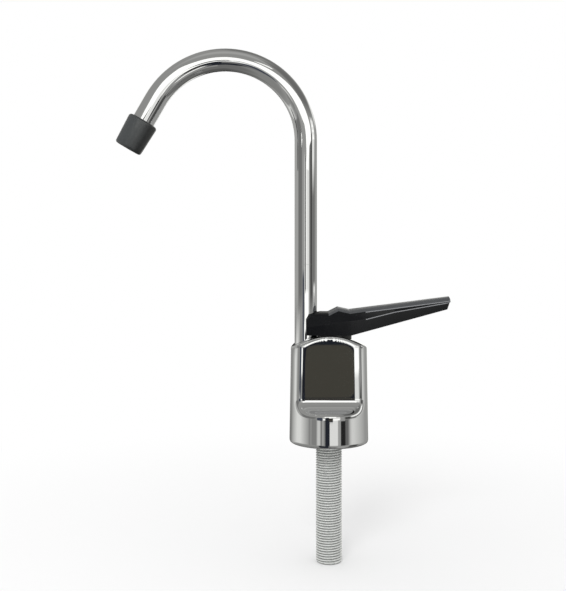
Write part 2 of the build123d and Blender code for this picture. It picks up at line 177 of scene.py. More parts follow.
# Tints of the room's cards
NEUTRAL = (1.0, 1.0, 0.955)
COOL = (0.82, 0.94, 1.25)
WARM = (1.06, 1.0, 0.80)

BOX_FACES = [(0, 1, 3, 2), (4, 6, 7, 5), (0, 4, 5, 1), (2, 3, 7, 6), (0, 2, 6, 4), (1, 5, 7, 3)]


def linear(grey):
    """A brightness from 0 to 255 as it shows on a screen, as a linear value."""
    share = grey / 255
    if share <= 0.04045:
        return share / 12.92
    return ((share + 0.055) / 1.055) ** 2.4


# Shader helpers
def new_material(name):
    """A material with its node tree and its one shader."""
    material = bpy.data.materials.new(name)
    material.use_nodes = True
    tree = material.node_tree
    shader = tree.nodes["Principled BSDF"]
    return material, tree, shader


def add_noise(tree, scale, detail):
    """Noise fixed to the piece, so it moves with it."""
    place = tree.nodes.new("ShaderNodeTexCoord")
    noise = tree.nodes.new("ShaderNodeTexNoise")
    noise.inputs["Scale"].default_value = scale
    noise.inputs["Detail"].default_value = detail
    tree.links.new(place.outputs["Object"], noise.inputs["Vector"])
    return noise


def vary(tree, noise, socket, low, high):
    """Drives a shader socket from noise, between two values."""
    spread = tree.nodes.new("ShaderNodeMapRange")
    spread.inputs["From Min"].default_value = 0.3
    spread.inputs["From Max"].default_value = 0.7
    spread.inputs["To Min"].default_value = low
    spread.inputs["To Max"].default_value = high
    tree.links.new(noise.outputs["Fac"], spread.inputs["Value"])
    tree.links.new(spread.outputs["Result"], socket)


def add_bump(tree, shader, noise, height):
    """Fine surface grain of the given height, in metres."""
    bump = tree.nodes.new("ShaderNodeBump")
    bump.inputs["Strength"].default_value = 1.0
    bump.inputs["Distance"].default_value = height
    tree.links.new(noise.outputs["Fac"], bump.inputs["Height"])
    tree.links.new(bump.outputs["Normal"], shader.inputs["Normal"])


def metal(name, colour, rough_low, rough_high, grain, metallic=1.0):
    """Plated or bare metal whose polish varies slightly over the surface."""
    material, tree, shader = new_material(name)
    shader.inputs["Base Color"].default_value = (*colour, 1.0)
    shader.inputs["Metallic"].default_value = metallic
    noise = add_noise(tree, grain, 3.0)
    vary(tree, noise, shader.inputs["Roughness"], rough_low, rough_high)
    return material


def plastic(name, colour, rough_low, rough_high, grain, bump_height, gloss=0.5):
    """Moulded plastic or rubber with a fine grain and uneven gloss."""
    material, tree, shader = new_material(name)
    shader.inputs["Base Color"].default_value = (*colour, 1.0)
    shader.inputs["Metallic"].default_value = 0.0
    shader.inputs["Specular IOR Level"].default_value = gloss
    noise = add_noise(tree, grain, 4.0)
    vary(tree, noise, shader.inputs["Roughness"], rough_low, rough_high)
    add_bump(tree, shader, add_noise(tree, grain * 4, 2.0), bump_height)
    return material


def make_materials():
    """One procedural material for each material slot of the record."""
    return {
        "body_chrome": metal("body_chrome", (0.84, 0.845, 0.86), 0.02, 0.05, 60),
        "spout_chrome": metal("spout_chrome", (0.84, 0.845, 0.86), 0.02, 0.05, 60),
        "core_plastic": plastic("core_plastic", (0.72, 0.72, 0.69), 0.40, 0.50, 300, 2e-6),
        "plate_steel": metal("plate_steel", (0.56, 0.57, 0.58), 0.30, 0.40, 400),
        "screw_steel": metal("screw_steel", (0.60, 0.61, 0.62), 0.22, 0.30, 400),
        "shank_plating": metal("shank_plating", (0.86, 0.865, 0.84), 0.24, 0.34, 500, 0.55),
        "seal_rubber": plastic("seal_rubber", (0.012, 0.012, 0.013), 0.60, 0.75, 500, 4e-6),
        "valve_brass": metal("valve_brass", (0.72, 0.52, 0.22), 0.22, 0.32, 400),
        "bonnet_black": plastic("bonnet_black", (0.010, 0.010, 0.011), 0.34, 0.44, 400, 2e-6),
        "tip_black": plastic("tip_black", (0.012, 0.0132, 0.0138), 0.30, 0.40, 500, 1e-6, 0.8),
        "lever_black": plastic("lever_black", (0.0020, 0.0024, 0.0040), 0.20, 0.28, 300, 2e-7, 0.32),
        # Lighter greys for the lever: painted highlight lines along its creases and a painted lit
        # band on its crown.
        "lever_painted_highlight": plastic("lever_painted_highlight", (0.22, 0.225, 0.235), 0.22, 0.30, 300, 2e-7),
        "lever_band_painted_light": plastic("lever_band_painted_light", (0.070, 0.073, 0.078), 0.24, 0.32, 300, 2e-7),
        "spring_steel": metal("spring_steel", (0.58, 0.59, 0.60), 0.20, 0.28, 400),
    }


def thread_metal():
    """Satin plating, with painted shade that darkens it towards the roots of the thread's grooves.
    """
    material = metal("thread_plating", THREAD_CREST, 0.24, 0.34, 500, THREAD_METALLIC)
    tree = material.node_tree
    shader = tree.nodes["Principled BSDF"]
    # The groove depth darkens the base colour, as painted shade.
    depth = tree.nodes.new("ShaderNodeAttribute")
    depth.attribute_name = "groove"
    ramp = tree.nodes.new("ShaderNodeValToRGB")
    ramp.color_ramp.elements[0].position = 0.0
    ramp.color_ramp.elements[0].color = (*THREAD_CREST, 1.0)
    ramp.color_ramp.elements[1].position = 0.9
    ramp.color_ramp.elements[1].color = (*THREAD_GROOVE_SHADE, 1.0)
    tree.links.new(depth.outputs["Fac"], ramp.inputs["Fac"])
    tree.links.new(ramp.outputs["Color"], shader.inputs["Base Color"])
    return material


def dress_nodes(materials):
    """Gives every node of the CAD model the material of its slot."""
    for part in frame["record"]["subparts"]:
        node = nodes[part["node"]]
        node.data.materials.clear()
        node.data.materials.append(materials[part["material_slot"]])


# Mesh helpers
def link(thing):
    """Puts a new object into the scene."""
    bpy.context.scene.collection.objects.link(thing)


def new_piece(name, points, faces, material, smooth=True):
    """A mesh object from points in millimetres."""
    mesh = bpy.data.meshes.new(name)
    mesh.from_pydata([tuple(MM * value for value in point) for point in points], [], faces)
    mesh.update()
    if smooth:
        mesh.polygons.foreach_set("use_smooth", [True] * len(mesh.polygons))
    piece = bpy.data.objects.new(name, mesh)
    link(piece)
    if material is not None:
        mesh.materials.append(material)
    return piece


def grid_faces(rows, columns):
    """The faces of a grid of points that is given row by row."""
    faces = []
    for row in range(rows - 1):
        for column in range(columns - 1):
            first = row * columns + column
            faces.append((first, first + 1, first + columns + 1, first + columns))
    return faces


def cylinder_tool(x, heights, radius, count=96):
    """An upright cylinder on the tap's middle plane, for cutting."""
    points = []
    for z in heights:
        for index in range(count):
            angle = 2 * math.pi * index / count
            points.append((x + radius * math.cos(angle), radius * math.sin(angle), z))
    faces = [tuple(reversed(range(count))), tuple(range(count, 2 * count))]
    for index in range(count):
        after = (index + 1) % count
        faces.append((index, after, count + after, count + index))
    return new_piece("tool", points, faces, None, smooth=False)


def box_tool(xs, half_width, heights):
    """A box across the tap's middle plane, for cutting."""
    points = [(x, y, z) for x in xs for y in (-half_width, half_width) for z in heights]
    return new_piece("tool", points, BOX_FACES, None, smooth=False)


def cut_away(piece, tools):
    """Subtracts closed tool meshes from a piece and removes the tools."""
    for tool in tools:
        step = piece.modifiers.new("cut", "BOOLEAN")
        step.operation = "DIFFERENCE"
        step.solver = "EXACT"
        step.object = tool
        bake(piece)
        bpy.data.objects.remove(tool)


def bake(piece):
    """Replaces a piece's mesh by what its modifiers make of it."""
    bpy.context.view_layer.update()
    graph = bpy.context.evaluated_depsgraph_get()
    mesh = bpy.data.meshes.new_from_object(piece.evaluated_get(graph))
    piece.modifiers.clear()
    old = piece.data
    piece.data = mesh
    bpy.data.meshes.remove(old)


def lathe(name, rings, count, material):
    """A closed ring-shaped mesh. Each ring gives the points of one turn as a function of angle."""
    points = []
    for ring in rings:
        for index in range(count):
            angle = 2 * math.pi * index / count
            radius, z = ring(angle)
            points.append((radius * math.cos(angle), radius * math.sin(angle), z))
    faces = []
    for row in range(len(rings)):
        low, high = row * count, (row + 1) % len(rings) * count
        for column in range(count):
            after = (column + 1) % count
            faces.append((low + column, low + after, high + after, high + column))
    return new_piece(name, points, faces, material)


def plain_ring(radius, z):
    """A round turn of points for lathe."""
    return lambda angle: (radius, z)


# Shank with its helical thread
def thread_ring(z):
    """One turn of points on the thread, which rises by a pitch in each turn."""
    start = (-z - THREAD_NECK) / THREAD_PITCH
    end = (SHANK_LENGTH + z) / THREAD_PITCH
    share = max(0.0, min(1.0, start + 0.5, end * 0.8))
    lead = SHANK_END_CHAMFER - min(SHANK_END_CHAMFER, SHANK_LENGTH + z)

    def place(angle):
        turn = z / THREAD_PITCH - angle / (2 * math.pi)
        ridge = abs((turn % 1) * 2 - 1)
        ridge = min(1.0, max(0.0, (ridge - THREAD_FLAT_SHARE) / (1 - 2 * THREAD_FLAT_SHARE)))
        radius = SHANK_RADIUS - THREAD_DEPTH * share * (1 - ridge)
        return min(radius, SHANK_RADIUS - lead * 0.9), z

    return place


def make_shank():
    """The shank, with the true helix where the CAD model has closed ridges."""
    low = -SHANK_LENGTH
    socket_top = low + SHANK_SOCKET_DEPTH
    rows = round(SHANK_LENGTH / THREAD_PITCH * THREAD_ROWS)
    rings = [
        plain_ring(SHANK_BORE, SHANK_FLANGE_TOP),
        plain_ring(SHANK_BORE, socket_top),
        plain_ring(SHANK_SOCKET, socket_top),
        plain_ring(SHANK_SOCKET, low),
    ]
    for row in range(rows + 1):
        rings.append(thread_ring(low + SHANK_LENGTH * row / rows))
    rings.append(plain_ring(SHANK_RELIEF, 0.0))
    rings.append(plain_ring(SHANK_RELIEF, SHANK_FLANGE_LOW))
    rings.append(plain_ring(SHANK_FLANGE_RADIUS, SHANK_FLANGE_LOW))
    rings.append(plain_ring(SHANK_FLANGE_RADIUS, SHANK_FLANGE_TOP))
    shank = lathe("threaded_shank", rings, 72, thread_metal())
    points = np.zeros(len(shank.data.vertices) * 3)
    shank.data.vertices.foreach_get("co", points)
    points = points.reshape(-1, 3) / MM
    # How deep each point lies in a groove, which sets the painted shade in the grooves.
    depth = (SHANK_RADIUS - np.hypot(points[:, 0], points[:, 1])) / THREAD_DEPTH
    groove = shank.data.attributes.new("groove", "FLOAT", "POINT")
    groove.data.foreach_set("value", np.clip(depth, 0, 1).astype(np.float32))
    shank.data.set_sharp_from_angle(angle=math.radians(34))
    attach(shank, "base")
    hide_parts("shank")


# Spout tip
def quarter_round(radius, place, edge, turn):
    """Rings round an outer edge. Turn 0 comes out of the first end, 1 goes into the second."""
    rings = []
    for step in range(TIP_ROUND_STEPS + 1):
        angle = math.radians(90 * (step / TIP_ROUND_STEPS + turn))
        out = radius - edge + edge * math.sin(angle)
        rings.append(plain_ring(out, place - edge * math.cos(angle)))
    return rings


def make_spout_tip(materials):
    """The black moulded outlet, with soft edges, pushed over the tube's end."""
    rings = [plain_ring(TIP_SOCKET, 0.0)]
    rings += quarter_round(TIP_RADIUS, TIP_ROUND, TIP_ROUND, 0)
    rings += quarter_round(TIP_END_RADIUS, TIP_LENGTH - TIP_ROUND, TIP_ROUND, 1)
    rings.append(plain_ring(TIP_OUTLET + TIP_OUTLET_CHAMFER, TIP_LENGTH))
    rings.append(plain_ring(TIP_OUTLET, TIP_LENGTH - TIP_OUTLET_CHAMFER))
    rings.append(plain_ring(TIP_OUTLET, TIP_SOCKET_DEPTH))
    rings.append(plain_ring(TIP_SOCKET, TIP_SOCKET_DEPTH))
    tip = lathe("outlet_moulding", rings, 96, materials["tip_black"])
    lean = math.radians(TIP_TILT)
    side = Vector((-math.cos(lean), 0, math.sin(lean)))
    ahead = Vector((-math.sin(lean), 0, -math.cos(lean)))
    start = Vector((TIP_START[0], 0, TIP_START[1])) * MM
    for vertex in tip.data.vertices:
        x, y, z = vertex.co
        vertex.co = start + side * x + Vector((0, y, 0)) + ahead * z
    tip.data.set_sharp_from_angle(angle=math.radians(40))
    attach(tip, "spout")
    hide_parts("spout_tip")


# Lever
def along(line, x):
    """The height of a line of (x, z) pairs at x."""
    return float(np.interp(x, [point[0] for point in line], [point[1] for point in line]))


def lever_ring(x, under_raise=0.0, side_draft=0.0, lean=0.0):
    """The outline of one slice across the lever, from its underside round over its crown.
    Lean sets the points from the crease down back along the lever."""
    top = along(LEVER_TOP, x)
    edge = top - LEVER_CROWN
    crease = min(along(LEVER_CREASE, x), edge - LEVER_LINE_GAP)
    under = along(LEVER_UNDER, x) + under_raise
    half = along(LEVER_HALF, x) - side_draft
    half_top = half - LEVER_CROWN_INSET
    half_under = half - LEVER_UNDER_INSET
    half_line = half - LEVER_LINE * LEVER_UNDER_INSET / (crease - under)
    side = [(half_under, under), (half_line, crease - LEVER_LINE), (half, crease + LEVER_LINE)]
    ring = [(x - lean, -y, z) for y, z in side]
    full = 1 - math.sqrt(1 - LEVER_CROWN_REACH ** 2)
    for index in range(2 * LEVER_CROWN_STEPS + 1):
        share = math.sin((index / LEVER_CROWN_STEPS - 1) * math.pi / 2)
        drop = 1 - math.sqrt(1 - (LEVER_CROWN_REACH * share) ** 2)
        ring.append((x, share * half_top, top - LEVER_CROWN * drop / full))
    ring += [(x - lean, y, z) for y, z in reversed(side)]
    return ring


def lever_blank(materials):
    """The lever before its cuts, with painted highlight lines along its creases and a painted paler
    top band where light would catch its crown.
    """
    bevel_length, bevel_height = LEVER_END_BEVEL
    rings = [lever_ring(x) for x in [*LEVER_STATIONS, LEVER_END - bevel_length]]
    rings.append(lever_ring(LEVER_END, bevel_height, LEVER_END_DRAFT, LEVER_END_LEAN))
    points = [point for ring in rings for point in ring]
    count = len(rings[0])
    faces = [tuple(range(count))]
    faces.append(tuple(reversed(range(len(points) - count, len(points)))))
    for row in range(len(rings) - 1):
        for column in range(count):
            after = (column + 1) % count
            low, high = row * count, (row + 1) * count
            faces.append((low + column, high + column, high + after, low + after))
    made = new_piece("lever_moulding", points, faces, materials["lever_black"])
    made.data.materials.append(materials["lever_painted_highlight"])
    made.data.materials.append(materials["lever_band_painted_light"])
    # Painted highlight lines on the crease strips, and a painted lighter band on the crown.
    for index, face in enumerate(made.data.polygons[2:]):
        column = index % count
        if column in LEVER_HIGHLIGHT_LINES and index // count >= LEVER_HIGHLIGHT_START:
            face.material_index = 1
        elif column in LEVER_LIGHT_BAND and index // count >= LEVER_LIGHT_BAND_START:
            face.material_index = 2
    return made


def pocket_tools():
    """Closed blocks for the hollows under the blade."""
    end = LEVER_END - LEVER_END_BEVEL[0] - POCKET_WALL
    step = (end - POCKET_START_X + POCKET_RIB) / POCKET_COUNT
    tools = []
    for index in range(POCKET_COUNT):
        start = POCKET_START_X + index * step
        points = []
        for x in (start, start + step - POCKET_RIB):
            half = along(LEVER_HALF, x) - LEVER_CROWN_INSET - POCKET_WALL
            low = along(LEVER_UNDER, x) - POCKET_WALL
            high = along(LEVER_TOP, x) - LEVER_CROWN - POCKET_WALL
            points += [(x, y, z) for y in (-half, half) for z in (low, high)]
        tools.append(new_piece("tool", points, BOX_FACES, None, smooth=False))
    return tools


def pin_tool():
    """The blind hole for the lever's pin, open on the far side."""
    count = 48
    points = []
    for y in (PIN_HOLE_FRONT, PIN_HOLE_BACK):
        for index in range(count):
            angle = 2 * math.pi * index / count
            x = STEM_X + PIN_HOLE_RADIUS * math.cos(angle)
            points.append((x, y, PIN_Z + PIN_HOLE_RADIUS * math.sin(angle)))
    faces = [tuple(range(count)), tuple(reversed(range(count, 2 * count)))]
    for index in range(count):
        after = (index + 1) % count
        faces.append((after, index, count + index, count + after))
    return new_piece("tool", points, faces, None, smooth=False)


def make_lever(materials):
    """The moulded lever, with slightly rounded edges."""
    lever = lever_blank(materials)
    fork_centre = FORK_FLOOR_X - FORK_HALF
    fork = cylinder_tool(fork_centre, LEVER_CUT_HEIGHTS, FORK_HALF)
    mouth = box_tool((FORK_MOUTH_X, fork_centre), FORK_HALF, LEVER_CUT_HEIGHTS)
    half_length, half_width, top = STEM_SLOT
    ends = (STEM_X - half_length, STEM_X + half_length)
    slot = box_tool(ends, half_width, (LEVER_CUT_HEIGHTS[0], top))
    cut_away(lever, [fork, mouth, slot, pin_tool(), *pocket_tools()])
    soften = lever.modifiers.new("soften", "BEVEL")
    soften.width = LEVER_SOFTENING * MM
    soften.segments = 3
    soften.limit_method = "ANGLE"
    soften.angle_limit = math.radians(LEVER_SOFTENING_ANGLE)
    soften.harden_normals = True
    bake(lever)
    lever.data.polygons.foreach_set("use_smooth", [True] * len(lever.data.polygons))
    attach(lever, "lever")
    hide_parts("lever")


# Body
def soft_max(a, b, softness):
    """The higher of two distances, with a gradual round where they meet."""
    near = np.maximum(softness - np.abs(a - b), 0) / softness
    return np.maximum(a, b) + near ** 3 * softness / 6


def body_distance(p, bottom):
    """Roughly the distance of points outside the body's surface, in millimetres."""
    x, y, z = p[..., 0], p[..., 1], p[..., 2]
    side = np.hypot(x, y) - (BODY_BASE_RADIUS - BODY_TAPER * z)
    arch = np.hypot(x, np.maximum(z - ARCH_CENTRE_Z, 0)) - ARCH_RADIUS
    form = soft_max(side, arch, CORNER_SOFTNESS)
    across = COVE_RADIUS - (np.abs(y) - FLAT_DISTANCE)
    down = COVE_RADIUS - (z - LEDGE_HEIGHT)
    corner = np.hypot(np.maximum(across, 0), np.maximum(down, 0))
    scoop = COVE_RADIUS - corner - np.minimum(np.maximum(across, down), 0)
    rise = np.clip((z - LEDGE_HEIGHT) / COVE_RADIUS, 0, 1)
    aside = np.minimum(np.abs(x) / TOP_SOFTNESS_REACH, 1) ** 2
    upper = TOP_SOFTNESS + (SIDE_SOFTNESS - TOP_SOFTNESS) * aside
    softness = LIP_SOFTNESS + (upper - LIP_SOFTNESS) * rise
    form = soft_max(form, scoop, softness)
    return soft_max(form, bottom - z, BASE_SOFTNESS)


def body_slope(p):
    """The direction in which the body's distance grows, at each point."""
    slope = np.zeros_like(p)
    for axis in range(3):
        shift = np.zeros(3)
        shift[axis] = SLOPE_STEP
        slope[..., axis] = body_distance(p + shift, 0.0) - body_distance(p - shift, 0.0)
    return slope / np.linalg.norm(slope, axis=-1, keepdims=True)


def globe(name, inset, bottom, grid, material):
    """The body's surface, or one inside it, found along rays from a point within."""
    across, up = grid
    centre = np.array([0.0, 0.0, BODY_CENTRE_Z])
    azimuths = np.arange(across) * 2 * math.pi / across
    elevations = (np.arange(1, up) / up - 0.5) * math.pi
    e, a = np.meshgrid(elevations, azimuths, indexing="ij")
    rays = np.stack([np.cos(a) * np.cos(e), np.sin(a) * np.cos(e), np.sin(e)], axis=-1)
    rays = np.concatenate([rays.reshape(-1, 3), [[0, 0, -1], [0, 0, 1]]])
    near = np.full(len(rays), 0.5)
    far = np.full(len(rays), BODY_REACH)
    for _ in range(32):
        middle = (near + far) / 2
        inside = body_distance(centre + rays * middle[:, None], bottom) + inset < 0
        near = np.where(inside, middle, near)
        far = np.where(inside, far, middle)
    points = centre + rays * near[:, None]
    faces = []
    for row in range(up - 2):
        for column in range(across):
            after = (column + 1) % across
            low, high = row * across, (row + 1) * across
            faces.append((low + column, low + after, high + after, high + column))
    foot, top = len(rays) - 2, len(rays) - 1
    last = (up - 2) * across
    for column in range(across):
        after = (column + 1) % across
        faces.append((foot, after, column))
        faces.append((top, last + column, last + after))
    return new_piece(name, points.tolist(), faces, material)


def make_body(materials):
    """The plated body, hollow below, with holes for the spout and the valve's cap."""
    body = globe("body_casting", 0.0, 0.0, BODY_GRID, materials["body_chrome"])
    cavity = globe("tool", SHELL_WALL, CAVITY_LOW, CAVITY_GRID, None)
    spout_hole = cylinder_tool(SPOUT_X, TOP_HOLE_HEIGHTS, SPOUT_HOLE_RADIUS)
    cap_hole = cylinder_tool(STEM_X, TOP_HOLE_HEIGHTS, CAP_HOLE_RADIUS)
    cut_away(body, [cavity, spout_hole, cap_hole])
    shade_body(body.data)
    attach(body, "base")
    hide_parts("body_shell")


def shade_body(mesh):
    """Gives the outer surface the exact direction of its form, for smooth reflections."""
    mesh.polygons.foreach_set("use_smooth", [True] * len(mesh.polygons))
    mesh.set_sharp_from_angle(angle=math.radians(35))
    count = len(mesh.vertices)
    points = np.zeros(count * 3)
    mesh.vertices.foreach_get("co", points)
    points = points.reshape(-1, 3) / MM
    outer = np.abs(body_distance(points, 0.0)) < 0.01
    slopes = body_slope(points)
    loops = np.zeros(len(mesh.loops), dtype=int)
    mesh.loops.foreach_get("vertex_index", loops)
    flat = np.zeros(len(mesh.polygons) * 3)
    mesh.polygons.foreach_get("normal", flat)
    flat = flat.reshape(-1, 3)
    totals = np.zeros(len(mesh.polygons), dtype=int)
    mesh.polygons.foreach_get("loop_total", totals)
    owner = np.repeat(np.arange(len(totals)), totals)
    normals = slopes[loops]
    agrees = (normals * flat[owner]).sum(axis=1) > 0.6
    normals[~(outer[loops] & agrees)] = 0
    mesh.normals_split_custom_set(normals.tolist())


# Studio pieces
def glow_material(name, level, tint):
    """Light given off as strongly as the mesh's own 'glow' values say, clear where they are 0."""
    material = bpy.data.materials.new(name)
    material.use_nodes = True
    tree = material.node_tree
    tree.nodes.clear()
    light = tree.nodes.new("ShaderNodeEmission")
    light.inputs["Color"].default_value = (*tint, 1.0)
    light.inputs["Strength"].default_value = level
    clear = tree.nodes.new("ShaderNodeBsdfTransparent")
    share = tree.nodes.new("ShaderNodeAttribute")
    share.attribute_name = "glow"
    mix = tree.nodes.new("ShaderNodeMixShader")
    out = tree.nodes.new("ShaderNodeOutputMaterial")
    tree.links.new(share.outputs["Fac"], mix.inputs["Fac"])
    tree.links.new(clear.outputs["BSDF"], mix.inputs[1])
    tree.links.new(light.outputs["Emission"], mix.inputs[2])
    tree.links.new(mix.outputs["Shader"], out.inputs["Surface"])
    return material


def direction(azimuth, elevation):
    """Azimuth 0 points at the camera, towards -Y, and 90 towards +X."""
    a = math.radians(azimuth)
    e = math.radians(elevation)
    return Vector((math.sin(a) * math.cos(e), -math.cos(a) * math.cos(e), math.sin(e)))


def hang_card(name, points, faces, shares, grey, tint):
    """A glowing card that only reflections see, from points in millimetres. Shares say how
    strongly it glows at each point."""
    made = new_piece(name, points, faces, glow_material(name, linear(grey), tint), smooth=False)
    layer = made.data.attributes.new("glow", "FLOAT", "POINT")
    layer.data.foreach_set("value", shares)
    made.visible_camera = False
    made.visible_diffuse = False
    made.visible_shadow = False


def grid_lines(low, high, low_feather, high_feather):
    """Even steps from low to high, with one step of the feather's width at each end."""
    inner_low, inner_high = low + low_feather, high - high_feather
    count = max(1, round((inner_high - inner_low) / SURROUND_STEP))
    lines = [inner_low + (inner_high - inner_low) * index / count for index in range(count + 1)]
    if low_feather > 0:
        lines = [low] + lines + [high]
    return lines


def card(name, azimuths, elevations, grey, layer, soft=(0.0, 0.0, 0.0)):
    """A curved card far round the tap. A higher layer stands in front. Soft gives the widths
    over which its left, right and level edges fade, in degrees."""
    columns = grid_lines(*azimuths, soft[0], soft[1])
    rows = grid_lines(*elevations, soft[2], soft[2])
    distance = SURROUND_DISTANCE * (1 - SURROUND_LAYER_SHARE * layer)
    points, shares = [], []
    for elevation in rows:
        for azimuth in columns:
            points.append((SURROUND_CENTRE + direction(azimuth, elevation) * distance) / MM)
            at_side = soft[0] > 0 and azimuth in azimuths
            at_level = soft[2] > 0 and elevation in elevations
            shares.append(0.0 if at_side or at_level else 1.0)
    hang_card(name, points, grid_faces(len(rows), len(columns)), shares, grey, NEUTRAL)


def upright_card(name, across, heights, y, grey, tint=NEUTRAL, soft=(1.0, 1.0, 1.0)):
    """A flat upright card in front of the tap, in millimetres. Its left, right and level
    edges fade over the widths in soft."""
    columns = [across[0], across[0] + soft[0], across[1] - soft[1], across[1]]
    rows = [heights[0], heights[0] + soft[2], heights[1] - soft[2], heights[1]]
    points, shares = [], []
    for row, z in enumerate(rows):
        for column, x in enumerate(columns):
            points.append((x, y, z))
            shares.append(1.0 if row in (1, 2) and column in (1, 2) else 0.0)
    hang_card(name, points, grid_faces(len(rows), len(columns)), shares, grey, tint)


def polygon_card(name, corners, y, grey, tint=NEUTRAL):
    """A flat upright card with plain edges, from (x, z) corners in millimetres."""
    points = [(x, y, z) for x, z in corners]
    hang_card(name, points, [tuple(range(len(corners)))], [1.0] * len(corners), grey, tint)


def level_card(name, across, depths, z, grey):
    """A flat level card, in millimetres."""
    left, right = across
    front, back = depths
    points = [(left, front, z), (right, front, z), (right, back, z), (left, back, z)]
    hang_card(name, points, [(0, 1, 2, 3)], [1.0] * 4, grey, NEUTRAL)


def make_walls():
    """The grey room all round that the polished metal reflects, with its light and dark back."""
    card("room_above", (-180, 180), (24, 90), 150, 0)
    card("room_zenith", (-75, 55), (48, 88), 170, 1, (25, 25, 14))
    card("room_above_right", (30, 150), (24, 74), 112, 2, (20, 40, 12))
    card("room_above_back", (110, 210), (38, 90), 122, 1, (25, 25, 12))
    card("room_below", (-180, 180), (-90, -30), 112, 0)
    card("room_below_left", (-140, -28), (-64, -14), 136, 1, (25, 10, 14))
    card("room_below_right", (18, 62), (-60, -28), 172, 2, (8, 14, 10))
    card("room_below_back", (132, 218), (-78, -8), 90, 1, (25, 25, 10))
    card("room_round", (-180, 180), (-30, 26), 156, 0)
    card("back_window", (160, 175), (-30, 24), 268, 3, (3, 2, 4))
    card("back_dark", (177, 192), (-30, 24), 48, 3, (2, 4, 4))
    card("back_light", (118, 220), (16, 32), 238, 2, (8, 8, 5))


def make_low_cards():
    """Windows and gaps just below the level, which the body reflects."""
    card("left_back_low", (-180, -60), (-17, -3), 144, 1, (1, 1, 3))
    card("left_window", (-144, -60), (-17, -3), 228, 2, (36, 34, 3))
    card("left_gap_low", (-65, -14), (-17, -3), 134, 2, (4, 1, 3))
    card("left_slit_far", (-59, -53), (-17, -3), 154, 3, (2, 2, 3))
    card("left_slit", (-40, -26), (-17, -3), 208, 3, (5, 3, 3))
    card("left_slit_near", (-23, -17), (-17, -3), 176, 3, (2, 2, 3))
    card("front_window", (-2, 24), (-17, -3), 232, 4, (2, 2, 3))
    card("front_edge", (22, 32), (-17, -3), 162, 2, (1, 1, 3))
    card("right_gap_low", (30.5, 47), (-17, -8.2), 38, 3, (2, 3, 1.6))
    card("right_mid_low", (44, 62), (-17, -3), 106, 2, (1, 5, 3))
    card("right_window", (53, 126), (-17, -3), 216, 2, (14, 52, 3))
    card("right_low", (56, 94), (-36, -15), 74, 2, (6, 8, 4))


def make_high_cards():
    """Windows and gaps at the level and above it, which the upright tube reflects."""
    card("left_back_high", (-180, -80), (-4, 16), 170, 1, (1, 8, 2))
    card("left_gap_high", (-90, -36), (-4, 16), 118, 2, (12, 10, 2))
    card("right_gap_high", (42, 66), (-4, 15), 66, 3, (5, 6, 2))
    card("right_mid_high", (60, 108), (-4, 15), 120, 2, (4, 8, 2))
    card("right_lamp", (64, 100), (6, 26), 240, 4, (4, 8, 3))
    card("right_lamp_top", (70, 100), (9.5, 24), 285, 4, (4, 4, 2))
    card("right_glint", (80, 112), (-3.6, -1), 235, 4, (3, 6, 0.5))


def make_front_cards():
    """The window behind the camera, and the dark things before it that the flat reflects."""
    upright_card("window", (-150, 232), (-26, 172), -400, 282, soft=(14, 30, 8))
    upright_card("window_left_pane", (-160, -84), (20, 176), -398, 194, soft=(8, 6, 6))
    upright_card("window_right_pane", (18, 236), (20, 176), -398, 240, soft=(6, 30, 6))
    upright_card("window_post", (-84, -12), (20, 172), -396, 80, soft=(6, 6, 4))
    upright_card("dark_low", (-155, -14), (-255, -58), -236, 42, COOL, (16, 6, 14))
    upright_card("dark_low_right", (-22, 20), (-255, -142), -235.5, 42, COOL, (4, 8, 8))
    upright_card("dark_between", (-58, -3), (-75, -12), -237, 42, COOL, (4, 2, 3))
    upright_card("dark_high", (-62, 37), (-24, 50), -238, 36, COOL, (10, 4, 3))
    upright_card("dark_left", (-185, -86), (-22, 72), -239, 72, COOL, (14, 12, 8))
    brown = [(-9, -16), (26, -16), (31, -11), (31, 13), (25, 20), (-3, 20), (-15, 8), (-15, -9)]
    polygon_card("brown_scene", brown, -234, 66, WARM)


def make_near_cards():
    """Lights close to the tap: for the ledge's lip, and the white band along the spout."""
    upright_card("lip_light", (-30, 34), (38, 62), -100, 285, soft=(6, 6, 3))
    hood_low = [(-96, 140), (-52, 144), (-14, 146), (-3, 134), (0, 124), (30, 124), (44, 138)]
    hood_right = [(98, 146), (98, 170), (54, 199), (20, 201), (-10, 193), (-36, 182)]
    hood_left = [(-66, 186), (-92, 208), (-112, 198), (-114, 168)]
    polygon_card("hood", hood_low + hood_right + hood_left, -84, 285)
    streak = [(-24, 198), (-4, 212), (14, 238), (6, 240), (-12, 221), (-27, 203)]
    polygon_card("hood_streak", streak, -84, 262)
    level_card("ledge_shade", (-44, 44), (-28, -54), 75, 146)


def make_floor():
    """A wide pale floor that reflections don't see."""
    mesh = bpy.data.meshes.new("floor")
    half = FLOOR_SIZE / 2
    corners = [(-half, -half, 0), (half, -half, 0), (half, half, 0), (-half, half, 0)]
    mesh.from_pydata(corners, [], [(0, 1, 2, 3)])
    floor = bpy.data.objects.new("floor", mesh)
    floor.location = (0, 0, FLOOR_Z)
    link(floor)
    mesh.materials.append(floor_material())
    floor.visible_glossy = False


